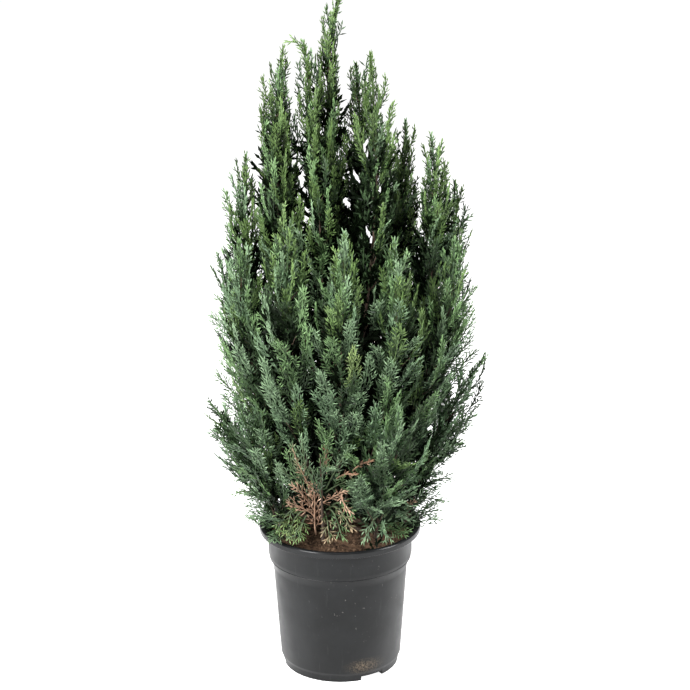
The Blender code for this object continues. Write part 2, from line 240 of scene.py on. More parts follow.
def shoulder_curve(inset, proud=0.0, steps=64):
    """The wall's swelling from its top into the collar, with the moulding line standing proud."""
    points = []
    for step in range(steps + 1):
        part = step / steps
        share = 0.6 * part + 0.4 * (1 - math.cos(math.pi * part)) / 2
        height = SHOULDER_LOW + (SHOULDER_TOP - SHOULDER_LOW) * part
        line = proud * math.exp(-((height - CREASE) / CREASE_HALF) ** 2)
        radius = SHOULDER_LOW_RADIUS + (COLLAR_RADIUS - SHOULDER_LOW_RADIUS) * share + line
        points.append((radius - inset, height))
    return points


def pot_profile():
    """The pot's outline from the middle of its underside, up its outside and down its inside."""
    underside = [(0.0, 0.0), (PAD_RADIUS - 0.001, 0.0), (PAD_RADIUS, 0.0006),
                 (PAD_RADIUS + 0.002, FLOOR_UNDERSIDE), (FOOT_INNER - 0.002, FLOOR_UNDERSIDE),
                 (FOOT_INNER - 0.0004, 0.0008), (FOOT_INNER + 0.0006, 0.0)]
    foot = [*quarter_round((FOOT_OUTER - 0.0010, 0.0010), 0.0010, -90, 0, 4),
            (FOOT_TOP_RADIUS, FOOT_TOP - 0.0006), (FOOT_TOP_RADIUS + 0.0004, FOOT_TOP),
            (WALL_FOOT_RADIUS - 0.0006, WALL_FOOT - 0.0010), (WALL_FOOT_RADIUS, WALL_FOOT)]
    under_lip = LIP_TOP - LIP_BAND
    lip = [(COLLAR_RADIUS, under_lip - 0.0014), (COLLAR_RADIUS + 0.0006, under_lip - 0.0004),
           (COLLAR_RADIUS + 0.0016, under_lip),
           *quarter_round((LIP_RADIUS - 0.0014, under_lip + 0.0014), 0.0014, -90, 0),
           *quarter_round((LIP_RADIUS - 0.0026, LIP_TOP - 0.0026), 0.0026, 0, 90),
           *quarter_round((LIP_INNER + 0.0012, LIP_TOP - 0.0012), 0.0012, 90, 180, 4)]
    inside = [(LIP_INNER, under_lip + 0.0015), (COLLAR_RADIUS - WALL, under_lip),
              *reversed(shoulder_curve(WALL)), (WALL_FOOT_RADIUS - WALL, WALL_FOOT),
              (WALL_FOOT_RADIUS - 2 * WALL, FLOOR_UNDERSIDE + WALL), (0.0, FLOOR_UNDERSIDE + WALL)]
    return underside + foot + shoulder_curve(0.0, CREASE_PROUD) + lip + inside


def turn_profile(profile, segments):
    """A closed body turned about the Z axis from a profile that starts and ends on it."""
    body = bmesh.new()
    points = [body.verts.new((radius, 0.0, height)) for radius, height in profile]
    edges = [body.edges.new(pair) for pair in zip(points, points[1:])]
    bmesh.ops.spin(body, geom=points + edges, cent=(0, 0, 0), axis=(0, 0, 1),
                   angle=2 * math.pi, steps=segments, use_merge=True)
    bmesh.ops.remove_doubles(body, verts=body.verts, dist=1e-6)
    bmesh.ops.recalc_face_normals(body, faces=body.faces)
    return body


def cut_out(thing, cutters):
    """Take the cutters' shapes out of a piece, and the cutters out of the scene."""
    for cutter in cutters:
        boolean = thing.modifiers.new("less", "BOOLEAN")
        boolean.operation = "DIFFERENCE"
        boolean.solver = "EXACT"
        boolean.object = cutter
    bpy.context.view_layer.update()
    whole = thing.evaluated_get(bpy.context.evaluated_depsgraph_get())
    thing.data = bpy.data.meshes.new_from_object(whole)
    thing.modifiers.clear()
    for cutter in cutters:
        bpy.data.objects.remove(cutter, do_unlink=True)


def drain_cutters():
    """Blocks for the notches through the foot and drills for the holes in the floor."""
    cutters = []
    for bearing in NOTCH_BEARINGS:
        block = bmesh.new()
        turned = Matrix.Rotation(math.radians(bearing), 3, "Z")
        place = Matrix.LocRotScale(outward(bearing) * FOOT_OUTER, turned, Vector(NOTCH_SIZE))
        bmesh.ops.create_cube(block, size=1.0, matrix=place)
        cutters.append(show(f"notch_{bearing}", mesh_of("notch", block)))
    for bearing in HOLE_BEARINGS:
        drill = bmesh.new()
        bmesh.ops.create_cone(drill, cap_ends=True, segments=32, radius1=HOLE_RADIUS,
                              radius2=HOLE_RADIUS, depth=4 * FLOOR_UNDERSIDE,
                              matrix=Matrix.Translation(outward(bearing) * HOLE_CIRCLE))
        cutters.append(show(f"hole_{bearing}", mesh_of("hole", drill)))
    return cutters


def own_place(tree):
    """Place on the piece, in metres."""
    return add_node(tree, "TexCoord").outputs["Object"]


def noise_pattern(tree, scale, detail, stretch=(1.0, 1.0, 1.0)):
    """Noise over the piece, from 0 to 1."""
    place = add_node(tree, "Mapping", own_place(tree), None, None, stretch).outputs["Vector"]
    return add_node(tree, "TexNoise", place, None, scale, detail).outputs["Fac"]


def ramp(tree, source, stops):
    """Colours over the range of a pattern: stops are (position, colour)."""
    scale = add_node(tree, "ValToRGB", source)
    while len(scale.color_ramp.elements) < len(stops):
        scale.color_ramp.elements.new(0.5)
    for element, (position, colour) in zip(scale.color_ramp.elements, stops):
        element.position = position
        element.color = colour
    return scale.outputs["Color"]


def blend_colours(tree, share, first, second):
    """Second colour over the first by a share; each may be a socket or a colour."""
    unused = [None] * 5         # the mix node's inputs for plain values and vectors
    return add_node(tree, "Mix", share, *unused, first, second, data_type="RGBA").outputs[2]


def raise_surface(tree, shader, source, strength, depth):
    """Relief from a pattern on a shader's normal."""
    bump = add_node(tree, "Bump", strength, depth)
    tree.links.new(source, bump.inputs["Height"])
    tree.links.new(bump.outputs["Normal"], shader.inputs["Normal"])


def grey(level):
    return (level, level, level, 1.0)


POT_DARK = (0.011, 0.0115, 0.012, 1.0)
POT_PALE = (0.018, 0.019, 0.020, 1.0)
POT_WORN = (0.045, 0.046, 0.045, 1.0)
POT_FLECK = (0.200, 0.195, 0.180, 1.0)
POT_SHEEN = (0.33, 0.46)                        # roughness of the wall, from its glossy to its dull parts
LIP_SHEEN = 0.22
POT_GLOSS = 0.18
LIP_GLOSS = 0.22
DRIED_COMPOST = (0.400, 0.310, 0.215, 1.0)
SMEAR_PLACE = (0.034, -0.080, 0.024)            # on the wall above the right-hand notch
SMEAR_STRETCH = (1.0, 0.4, 2.2)
SMEAR_REACH = 0.036
FLECK_PLACE = (0.020, -0.110, 0.130)            # the part of the wall with pale flecks
FLECK_STRETCH = (1.0, 0.5, 1.0)
FLECK_REACH = 0.085


def patch_mask(tree, place, stretch, reach):
    """1 at a place on the piece, fading to 0 at a distance from it."""
    moved = add_node(tree, "VectorMath", own_place(tree), place, operation="SUBTRACT").outputs[0]
    scaled = add_node(tree, "VectorMath", moved, stretch, operation="MULTIPLY").outputs[0]
    away = add_node(tree, "VectorMath", scaled, operation="LENGTH").outputs["Value"]
    return add_node(tree, "MapRange", away, 0.0, reach, 1.0, 0.0).outputs["Result"]


def height_mask(tree, low, high):
    """0 below one height on the piece and 1 above another."""
    height = add_node(tree, "SeparateXYZ", own_place(tree)).outputs["Z"]
    return add_node(tree, "MapRange", height, low, high).outputs["Result"]


def pot_finish():
    """Satin black plastic, glossier on the lip, with scuffs, pale flecks and a smear of dried compost."""
    finish, tree, shader = new_finish("pot_satin_black", POT_SHEEN[0])
    clouds = ramp(tree, noise_pattern(tree, 22.0, 3.0), [(0.35, POT_DARK), (0.70, POT_PALE)])
    scuffs = ramp(tree, noise_pattern(tree, 60.0, 5.0, (3.0, 3.0, 0.35)),
                  [(0.63, grey(0.0)), (0.80, grey(0.55))])
    worn = blend_colours(tree, scuffs, clouds, POT_WORN)
    specks = ramp(tree, noise_pattern(tree, 210.0, 2.5), [(0.69, grey(0.0)), (0.75, grey(0.9))])
    near = patch_mask(tree, FLECK_PLACE, FLECK_STRETCH, FLECK_REACH)
    flecked = blend_colours(tree, product(tree, specks, near), worn, POT_FLECK)
    grit = ramp(tree, noise_pattern(tree, 520.0, 8.0), [(0.42, grey(0.0)), (0.62, grey(1.0))])
    smear = patch_mask(tree, SMEAR_PLACE, SMEAR_STRETCH, SMEAR_REACH)
    caked = product(tree, product(tree, grit, smear), smear)
    soiled = blend_colours(tree, caked, flecked, DRIED_COMPOST)
    under_lip = LIP_TOP - LIP_BAND
    lip = height_mask(tree, under_lip - 0.0005, under_lip + 0.0005)
    sheen = ramp(tree, noise_pattern(tree, 35.0, 4.0),
                 [(0.3, grey(POT_SHEEN[0])), (0.75, grey(POT_SHEEN[1]))])
    roughness = blend_colours(tree, lip, sheen, grey(LIP_SHEEN))
    gloss = blend_colours(tree, lip, grey(POT_GLOSS), grey(LIP_GLOSS))
    tree.links.new(soiled, shader.inputs["Base Color"])
    tree.links.new(roughness, shader.inputs["Roughness"])
    tree.links.new(gloss, shader.inputs["Specular IOR Level"])
    raise_surface(tree, shader, noise_pattern(tree, 260.0, 3.0), 0.10, 0.0004)
    return finish


pot = show("pot_shell", mesh_of("pot_shell", turn_profile(pot_profile(), POT_SEGMENTS)),
           [pot_finish()])
cut_out(pot, drain_cutters())
pot.data.shade_smooth()
pot.data.set_sharp_from_angle(angle=math.radians(50))
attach(pot, ROOT)
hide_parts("pot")


# Soil: dark peat compost, filled to just under the lip and heaped a little round the trunk, with a
# crumbly top of loose lumps.
soil_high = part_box("soil")[1]
SOIL_EDGE = 0.1985
SOIL_RADIUS = COLLAR_RADIUS - WALL - 0.0006
SOIL_FLAT = 0.030
SOIL_RINGS = 34
SOIL_FLOOR = 0.0105
CRUMB_COUNT = 1500
CRUMB_SMALLEST = 0.0005
CRUMB_SPREAD = 0.0022       # what the largest crumbs have more than the smallest
SOIL_SEED = 5


def soil_height(away):
    """Height of the soil's top at a distance from the axis, before its lumps."""
    share = min(max((SOIL_RADIUS - away) / (SOIL_RADIUS - SOIL_FLAT), 0.0), 1.0)
    return SOIL_EDGE + (soil_high.z - SOIL_EDGE) * share


def lumps(point):
    """How far the crumbly top stands above or below its even height."""
    sizes = ((0.0016, 55), (0.0012, 150), (0.0007, 420))      # height, lumps in each metre
    return sum(height * noise.noise(Vector(point) * rate) for height, rate in sizes)


def soil_body():
    """The plug of compost, with its top ruffled."""
    bottom = [(0.0, SOIL_FLOOR), (WALL_FOOT_RADIUS - 3 * WALL, SOIL_FLOOR),
              (WALL_FOOT_RADIUS - 2 * WALL, WALL_FOOT + 0.001),
              (SHOULDER_LOW_RADIUS - WALL - 0.0006, SHOULDER_LOW), (SOIL_RADIUS, SHOULDER_TOP + 0.001)]
    top = []
    for ring in range(SOIL_RINGS):
        away = SOIL_RADIUS * (1 - ring / SOIL_RINGS)
        top.append((away, soil_height(away)))
    body = turn_profile([*bottom, *top, (0.0, soil_high.z)], 160)
    for vert in body.verts:
        away = math.hypot(vert.co.x, vert.co.y)
        if vert.co.z > SOIL_EDGE - 1e-4 and away < SOIL_RADIUS - 0.0012:
            vert.co.z += lumps(vert.co)
    return body


def joined_copies(name, template, places, turns, sizes):
    """One mesh of many copies of a small shape: places n x 3, turns n x 3 x 3, sizes n x 3."""
    corners = np.array([vert.co for vert in template.verts])
    template.verts.index_update()
    faces = np.array([[vert.index for vert in face.verts] for face in template.faces])
    moved = np.einsum("nij,nvj->nvi", turns, corners[None] * sizes[:, None]) + places[:, None]
    numbers = faces[None] + (np.arange(len(places)) * len(corners))[:, None, None]
    mesh = bpy.data.meshes.new(name)
    mesh.from_pydata(moved.reshape(-1, 3), [], numbers.reshape(-1, faces.shape[1]))
    template.free()
    return mesh


def random_turns(rng, count):
    """Any number of random rotations as matrices."""
    axes = rng.normal(size=(count, 3, 3))
    turned = np.linalg.qr(axes)[0]
    turned[:, :, 0] *= np.sign(np.linalg.det(turned))[:, None]
    return turned


def crumb_mesh():
    """Loose crumbs of compost over the top."""
    rng = np.random.default_rng(SOIL_SEED)
    template = bmesh.new()
    bmesh.ops.create_icosphere(template, subdivisions=1, radius=1.0)
    for vert in template.verts:
        vert.co *= 1 + 0.35 * noise.noise(vert.co * 2.1)
    away = (SOIL_RADIUS - 0.003) * np.sqrt(rng.random(CRUMB_COUNT))
    angle = rng.random(CRUMB_COUNT) * 2 * math.pi
    girths = CRUMB_SMALLEST + CRUMB_SPREAD * rng.random(CRUMB_COUNT) ** 3
    sizes = girths[:, None] * (0.6 + 0.6 * rng.random((CRUMB_COUNT, 3)))
    places = np.stack([away * np.cos(angle), away * np.sin(angle), np.zeros(CRUMB_COUNT)], axis=1)
    for place, size in zip(places, sizes):
        place[2] = soil_height(math.hypot(place[0], place[1])) + lumps((place[0], place[1], soil_high.z))
        place[2] += 0.3 * size.mean()
    return joined_copies("soil_crumbs", template, places, random_turns(rng, CRUMB_COUNT), sizes)


def soil_finish(name, dark, pale):
    """Brown compost, patchy and rough."""
    finish, tree, shader = new_finish(name, 0.95, 0.2)
    colour = ramp(tree, noise_pattern(tree, 170.0, 6.0), [(0.36, dark), (0.64, pale)])
    tree.links.new(colour, shader.inputs["Base Color"])
    raise_surface(tree, shader, noise_pattern(tree, 900.0, 5.0), 0.8, 0.0008)
    return finish


soil = show("soil_plug", mesh_of("soil_plug", soil_body()),
            [soil_finish("compost", (0.030, 0.017, 0.010, 1.0), (0.150, 0.090, 0.055, 1.0))])
soil.data.shade_smooth()
crumbs = show("soil_crumbs", crumb_mesh(),
              [soil_finish("compost_crumbs", (0.040, 0.023, 0.014, 1.0), (0.190, 0.120, 0.075, 1.0))])
for piece in (soil, crumbs):
    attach(piece, ROOT)
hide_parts("soil")


# Trunk and boughs: one thin leaning stem from the soil to inside the leader, and a ring of boughs that
# leave it low down. The bark is red-brown and thin, split into upright fibrous strips.
BARK_CUTS = 3
TRUNK_RINGS = 150
TRUNK_SIDES = 20
BARK_DEPTH = 0.0007


def bark_finish():
    finish, tree, shader = new_finish("fibrous_bark", 0.88)
    strips = noise_pattern(tree, 420.0, 5.0, (1.0, 1.0, 0.12))
    colour = ramp(tree, strips, [(0.35, (0.024, 0.015, 0.010, 1.0)), (0.68, (0.120, 0.078, 0.052, 1.0))])
    tree.links.new(colour, shader.inputs["Base Color"])
    raise_surface(tree, shader, strips, 0.7, 0.0008)
    return finish


def bark_relief(point):
    """How far the bark stands out at a point: upright strips with cracks between them."""
    strips = noise.noise(Vector((point.x * 420, point.y * 420, point.z * 45)))
    lumps_of_bark = noise.noise(Vector((point.x * 160, point.y * 160, point.z * 60)))
    return BARK_DEPTH * (strips + 0.8 * lumps_of_bark)


def trunk_skin():
    """The trunk through the rings of its solid, with more rings and sides."""
    corners = np.array([vert.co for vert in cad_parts["trunk"].data.vertices])
    levels = np.unique(corners[:, 2].round(4))
    rings = [corners[abs(corners[:, 2] - level) < 2e-4] for level in levels]
    middles = np.array([(ring.max(axis=0) + ring.min(axis=0)) / 2 for ring in rings])
    radii = [np.linalg.norm(ring - middle, axis=1).max() for ring, middle in zip(rings, middles)]
    skin = bmesh.new()
    last = None
    for height in np.linspace(levels[0], levels[-1], TRUNK_RINGS):
        middle = Vector([np.interp(height, levels, middles[:, axis]) for axis in range(3)])
        ring = bmesh.ops.create_circle(skin, segments=TRUNK_SIDES, radius=np.interp(height, levels, radii),
                                       matrix=Matrix.Translation(middle))["verts"]
        edges = list({edge for vert in ring for edge in vert.link_edges})
        if last is None:
            bmesh.ops.contextual_create(skin, geom=edges)
        else:
            bmesh.ops.bridge_loops(skin, edges=last + edges)
        last = edges
    bmesh.ops.contextual_create(skin, geom=last)
    return skin


def bough_skins(limbs):
    """Rounded copies of the boughs' solids in one bmesh."""
    skin = bmesh.new()
    for limb in limbs:
        skin.from_mesh(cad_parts[limb].data)
    bmesh.ops.remove_doubles(skin, verts=skin.verts, dist=1e-5)
    bmesh.ops.subdivide_edges(skin, edges=skin.edges, cuts=BARK_CUTS, use_grid_fill=True)
    for _ in range(3):
        bmesh.ops.smooth_vert(skin, verts=skin.verts, factor=0.5,
                              use_axis_x=True, use_axis_y=True, use_axis_z=True)
    return skin


def barked(skin):
    """A limb's skin with the bark's relief."""
    bmesh.ops.recalc_face_normals(skin, faces=skin.faces)
    skin.normal_update()
    for vert in skin.verts:
        vert.co += vert.normal * bark_relief(vert.co)
    return skin


BARK = bark_finish()
bough_nodes = sorted(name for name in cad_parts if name.startswith("bough_"))
trunk = show("trunk_bark", mesh_of("trunk_bark", barked(trunk_skin())), [BARK])
boughs = show("boughs_bark", mesh_of("boughs_bark", barked(bough_skins(bough_nodes))), [BARK])
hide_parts("trunk")
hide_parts(*bough_nodes)
for piece in (trunk, boughs):
    piece.data.shade_smooth()
    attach(piece, ROOT)


# Growth: every bough runs on as a stem through its own mass to its tip. Shoots leave the stem all the
# way up, bend outwards and end on the outside of the mass, and each carries one flat spray.
GROWTH_SEED = 31
GOLDEN_TURN = math.radians(137.5)
TRY_AREA = 0.00004          # of a mass's skin for each place that is tried for a shoot's end
SPIRE_LOW = 0.60            # above this the masses part into spires that show on every side
SPIRE_HIGH = 0.72
TWIG_SIDES = 5
UP = np.array((0.0, 0.0, 1.0))


def unit(vectors):
    """Vectors at length 1, along the last axis."""
    size = np.linalg.norm(vectors, axis=-1, keepdims=True)
    return vectors / np.maximum(size, 1e-9)


def smooth_step(low, high, value):
    share = np.clip((value - low) / (high - low), 0.0, 1.0)
    return share * share * (3 - 2 * share)


def blend_path(first, middle, last, count):
    """Points on the curve that leaves first towards middle and reaches last from it."""
    shares = np.linspace(0, 1, count)[:, None]
    return first * (1 - shares) ** 2 + middle * 2 * shares * (1 - shares) + last * shares ** 2


def across_from(way, direction):
    """Unit vector across a way, as close to a direction as can be."""
    level = direction - way * float(direction @ way)
    if np.linalg.norm(level) < 1e-3:
        level = np.cross(way, (0.6, 0.5, 0.1))
    return unit(level)


def leaned(way, side, angle):
    """A way turned towards a side."""
    return way * math.cos(angle) + side * math.sin(angle)


class Mass:
    """A mass of foliage as its solid gives it: its skin, and the stem through its middle."""

    def __init__(self, node):
        self.name = node.removeprefix("foliage_")
        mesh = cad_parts[node].data
        mesh.calc_loop_triangles()
        corners = np.array([vert.co for vert in mesh.vertices])
        self.triangles = corners[np.array([list(face.vertices) for face in mesh.loop_triangles])]
        points = np.unique(corners.round(5), axis=0)
        levels = np.unique(points[:, 2].round(4))
        rings = [points[abs(points[:, 2] - level) < 2e-4] for level in levels]
        self.middles = np.array([ring.mean(axis=0) for ring in rings])
        self.levels = self.middles[:, 2]
        self.widths = [np.linalg.norm(ring - middle, axis=1).mean()
                       for ring, middle in zip(rings, self.middles)]
        self.foot = self.levels[0]
        self.top = self.levels[-1]

    def stem(self, height):
        """Middle of the mass at heights."""
        height = np.clip(height, self.foot, self.top)
        across = np.interp(height, self.levels, self.middles[:, 0])
        deep = np.interp(height, self.levels, self.middles[:, 1])
        return np.stack([across, deep, height], axis=-1)

    def width(self, height):
        return float(np.interp(height, self.levels, self.widths))

    def core_length(self, height):
        return min(0.062, 0.012 + 1.1 * self.width(height + 0.04))

    def shoot_ends(self, rng, close, sparse):
        """Points spread over the skin, close together where it faces out, sparse where it faces in."""
        edges_a = self.triangles[:, 1] - self.triangles[:, 0]
        edges_b = self.triangles[:, 2] - self.triangles[:, 0]
        slopes = np.cross(edges_a, edges_b)
        areas = np.linalg.norm(slopes, axis=1) / 2
        tries = int(areas.sum() / TRY_AREA)
        picks = rng.choice(len(areas), size=tries, p=areas / areas.sum())
        a, b = rng.random((2, tries, 1))
        flip = a + b > 1
        a, b = np.where(flip, 1 - a, a), np.where(flip, 1 - b, b)
        points = self.triangles[picks, 0] + edges_a[picks] * a + edges_b[picks] * b
        normals = unit(slopes[picks])
        facing = np.sum(normals * unit(points * (1, 1, 0)), axis=1)
        spire = smooth_step(SPIRE_LOW, SPIRE_HIGH, points[:, 2])
        outer = np.maximum(smooth_step(-0.2, 0.55, facing), spire)
        room = (sparse + (close - sparse) * outer) * (1 - 0.22 * spire)
        kept = []
        for number in range(tries):
            if normals[number, 2] < -0.8:
                continue
            gaps = np.linalg.norm(points[kept] - points[number], axis=1)
            if not len(kept) or gaps.min() > room[number]:
                kept.append(number)
        return points[kept], normals[kept], facing[kept]


class Twigs:
    """Tapering tubes gathered into one joined mesh."""

    def __init__(self):
        self.points = []
        self.faces = []
        self.count = 0

    def add(self, line, radii):
        """One tube along a line of points, closed at both ends."""
        ahead = unit(np.gradient(line, axis=0))
        side = unit(np.cross(ahead, (0.31, 0.92, 0.24)))
        over = np.cross(ahead, side)
        turns = np.arange(TWIG_SIDES) * 2 * math.pi / TWIG_SIDES
        ring = np.cos(turns)[None, :, None] * side[:, None] + np.sin(turns)[None, :, None] * over[:, None]
        points = line[:, None] + ring * np.asarray(radii)[:, None, None]
        rows = len(line)
        here = self.count + np.arange(rows * TWIG_SIDES).reshape(rows, TWIG_SIDES)
        there = np.roll(here, -1, axis=1)
        walls = np.stack([here[:-1], there[:-1], there[1:], here[1:]], axis=-1).reshape(-1, 4)
        self.points.append(points.reshape(-1, 3))
        self.faces.extend(walls.tolist())
        self.faces.append(here[0][::-1].tolist())
        self.faces.append(here[-1].tolist())
        self.count += rows * TWIG_SIDES

    def mesh(self, name):
        mesh = bpy.data.meshes.new(name)
        mesh.from_pydata(np.concatenate(self.points), [], self.faces)
        mesh.shade_smooth()
        return mesh


# Leaves: scale leaves pressed to short flat branchlets, so that each branchlet reads as one small keeled
# blade. The blades of a spray share a hue, paler towards its growing tips and darkened towards its base
# with painted shade. The deep, shade and high hues are painted shade too.
HUES = {
    # name: base of the spray, darkened with painted shade; growing tips
    "blue": ((0.014, 0.032, 0.014), (0.222, 0.352, 0.196)),
    "glaucous": ((0.018, 0.038, 0.017), (0.282, 0.424, 0.240)),
    "mid": ((0.013, 0.032, 0.010), (0.208, 0.350, 0.146)),
    "fresh": ((0.015, 0.036, 0.009), (0.198, 0.316, 0.104)),
    # painted shade: darker sprays at the tops of the spires, where they stand in open light
    "high": ((0.009, 0.023, 0.005), (0.126, 0.208, 0.062)),
    # painted shade: the layer behind the outer sprays, and sprays on the inner side
    "deep": ((0.008, 0.019, 0.007), (0.058, 0.106, 0.043)),
    # painted shade: near-black sprays inside the crown
    "shade": ((0.0016, 0.0036, 0.0012), (0.004, 0.008, 0.003)),
    "yellow": ((0.080, 0.125, 0.042), (0.270, 0.370, 0.135)),
    "turning": ((0.055, 0.110, 0.038), (0.440, 0.325, 0.200)),
    "dead": ((0.300, 0.165, 0.100), (0.640, 0.430, 0.300)),
    "withered": ((0.150, 0.085, 0.052), (0.400, 0.235, 0.150)),
    "dying": ((0.330, 0.240, 0.150), (0.160, 0.245, 0.125)),
}
# tints of each hue, from the painted shade at a spray's base to its growing tips
SHADE_TO_TIP_TINTS = 4
LEAF_ROUGHNESS = 0.48
LEAF_GLOSS = 0.32
SHADE_GLOSS = 0.04
BLADE_CHECKS = (0.15, 0.5, 0.85)                # places along a blade that keep off the slits of sky


def hue_finishes():
    """A plain finish for each tint of each hue, from the painted shade at the base to the tip."""
    finishes = []
    for name, (base, tip) in HUES.items():
        for tint in range(SHADE_TO_TIP_TINTS):
            share = tint / (SHADE_TO_TIP_TINTS - 1)
            colour = [low + (high - low) * share for low, high in zip(base, tip)]
            gloss = SHADE_GLOSS if name == "shade" else LEAF_GLOSS
            finishes.append(plain_finish(f"leaf_{name}_{tint}", (*colour, 1.0), LEAF_ROUGHNESS, gloss))
    return finishes


LEAF_FINISHES = hue_finishes()
HUE_START = {name: number * SHADE_TO_TIP_TINTS for number, name in enumerate(HUES)}


def blade_template():
    """A blade 1 long on +Z and 1 wide: flat at the back, keeled in front, broadest below its middle."""
    blade = bmesh.new()
    bmesh.ops.create_uvsphere(blade, u_segments=3, v_segments=2, radius=1.0)
    for vert in blade.verts:
        if abs(vert.co.z) < 0.5:
            vert.co.z = -0.10
    bmesh.ops.rotate(blade, cent=(0, 0, 0), verts=blade.verts, matrix=Matrix.Rotation(math.pi / 2, 3, "Z"))
    bmesh.ops.scale(blade, vec=(0.577, 0.354, 0.5), verts=blade.verts)
    bmesh.ops.translate(blade, vec=(0, 0, 0.5), verts=blade.verts)
    return blade


def clear_of_pot(points):
    """Which points are above the soil and, near the pot's wall, above its lip."""
    away = np.linalg.norm(points[:, :2], axis=1)
    return points[:, 2] > np.where(away > LIP_INNER - 0.006, LIP_TOP + 0.002, soil_high.z - 0.004)


class Blades:
    """Blades gathered into one joined mesh of several tints."""

    def __init__(self):
        self.rows = []

    def add(self, feet, ways, flat, lengths, widths, hue, light):
        """Blades from their feet along their ways; light picks the tint, 0 for the painted shade at a
        spray's base and 1 at its tips.
        """
        count = len(feet)
        tints = HUE_START[hue] + np.clip(np.asarray(light) * SHADE_TO_TIP_TINTS, 0, SHADE_TO_TIP_TINTS - 1).astype(int)
        row = (feet, unit(ways), flat, lengths, widths, tints)
        shapes = ((count, 3), (count, 3), (count, 3), (count,), (count,), (count,))
        self.rows.append([np.broadcast_to(part, shape) for part, shape in zip(row, shapes)])

    def mesh(self, name):
        rows = [np.concatenate(part) for part in zip(*self.rows)]
        clear = clear_of_pot(rows[0]) & clear_of_pot(rows[0] + rows[1] * rows[3][:, None])
        for share in BLADE_CHECKS:
            clear &= ~before_sky(rows[0] + share * rows[1] * rows[3][:, None])
        feet, ways, flats, lengths, widths, tints = (part[clear] for part in rows)
        across = unit(np.cross(flats, ways))
        turns = np.stack([across, np.cross(ways, across), ways], axis=-1)
        sizes = np.stack([widths, widths, lengths], axis=-1)
        template = blade_template()
        faces_each = len(template.faces)
        mesh = joined_copies(name, template, feet, turns, sizes)
        used, numbers = np.unique(tints, return_inverse=True)
        for tint in used:
            mesh.materials.append(LEAF_FINISHES[tint])
        mesh.polygons.foreach_set("material_index", np.repeat(numbers, faces_each).astype(np.int32))
        return mesh


# Sprays: one flat fan at the outer end of each shoot. Side shoots leave it to left and right in turn,
# longest low down, and carry their own branchlets the same way. A habit says how close and how long.
HABITS = {
    "feather": dict(side_step=0.0074, lean=(40, 25), bend=0.45, step=0.0031, long=0.0118, short=0.0066,
                    width=0.0021, branchlet_lean=35),
    "thin": dict(side_step=0.0095, lean=(44, 28), bend=0.40, step=0.0042, long=0.0130, short=0.0080,
                 width=0.0026, branchlet_lean=36),
    "coarse": dict(side_step=0.0130, lean=(46, 30), bend=0.40, step=0.0065, long=0.0190, short=0.0110,
                   width=0.0052, branchlet_lean=38),
    "spire": dict(side_step=0.0060, lean=(30, 18), bend=0.40, step=0.0030, long=0.0100, short=0.0060,
                  width=0.0021, branchlet_lean=28),
    "loose": dict(side_step=0.0066, lean=(50, 34), bend=0.10, step=0.0028, long=0.0105, short=0.0060,
                  width=0.0017, branchlet_lean=40),
    "bare": dict(side_step=0.0056, lean=(44, 24), bend=0.40, step=0.0052, long=0.0105, short=0.0060,
                 width=0.0019, branchlet_lean=36),
}
LINK = 0.0085               # length of the scaly links that clothe a shoot's axis
SHORTEST_SIDE = 0.007       # the side shoots next to a spray's tip


def along(line, distances):
    """Points and directions at distances along a line of points."""
    steps = np.linalg.norm(np.diff(line, axis=0), axis=1)
    run = np.concatenate([[0.0], np.cumsum(steps)])
    ahead = np.gradient(line, axis=0)
    points = np.stack([np.interp(distances, run, line[:, axis]) for axis in range(3)], axis=-1)
    ways = np.stack([np.interp(distances, run, ahead[:, axis]) for axis in range(3)], axis=-1)
    return points, unit(ways)


def length_of(line):
    return float(np.linalg.norm(np.diff(line, axis=0), axis=1).sum())


def clothe_axis(blades, line, flat, start, end, width, hue, light):
    """Overlapping scaly links along a stretch of a shoot's axis."""
    links = max(int((end - start) / LINK), 1)
    joints, _ = along(line, np.linspace(start, end, links + 1))
    runs = np.diff(joints, axis=0)
    spans = np.linalg.norm(runs, axis=1)
    blades.add(joints[:-1], runs, flat, spans * 1.5, width, hue, light)


def grow_side_shoot(blades, rng, foot, way, parent_way, flat, length, hue, light, habit):
    """A side shoot that curves towards its parent's direction, with branchlets left and right."""
    middle = foot + way * length * 0.5
    end = foot + way * length + (parent_way - way) * length * habit["bend"]
    line = blend_path(foot, middle, end, 5)
    total = length_of(line)
    count = max(int(total / habit["step"]), 2)
    shares = 0.06 + 0.90 * (np.arange(count) + 0.7 * rng.random()) / count
    points, ways = along(line, shares * total)
    hands = np.where(np.arange(count) % 2 == 0, 1.0, -1.0)[:, None]
    lean = np.radians(rng.normal(habit["branchlet_lean"], 6, count))[:, None]
    lift = rng.normal(0.0, 0.15, count)[:, None] * flat
    sprout = ways * np.cos(lean) + np.cross(flat, ways) * np.sin(lean) * hands + lift
    full = (1 - 0.5 * shares) * min(1.0, 0.5 + length / 0.035)
    lengths = habit["short"] + (habit["long"] - habit["short"]) * full
    lengths = lengths * rng.uniform(0.8, 1.2, count)
    widths = habit["width"] * rng.uniform(0.85, 1.15, count)
    flats = flat + rng.normal(0.0, 0.52, (count, 3))
    # tint: painted shade towards the spray's base and the side shoot's foot, paler out to the tips, with
    # random spread
    lights = 0.12 + 0.9 * light + 0.48 * shares + rng.normal(0.0, 0.21, count)
    blades.add(points, sprout, flats, lengths, widths, hue, lights)
    clothe_axis(blades, line, flat, 0.0, total, habit["width"] * 0.9, hue, light + 0.2)
    blades.add(line[-1:], ways[-1:], flat, habit["short"] * 1.2, habit["width"], hue, light + 0.75)


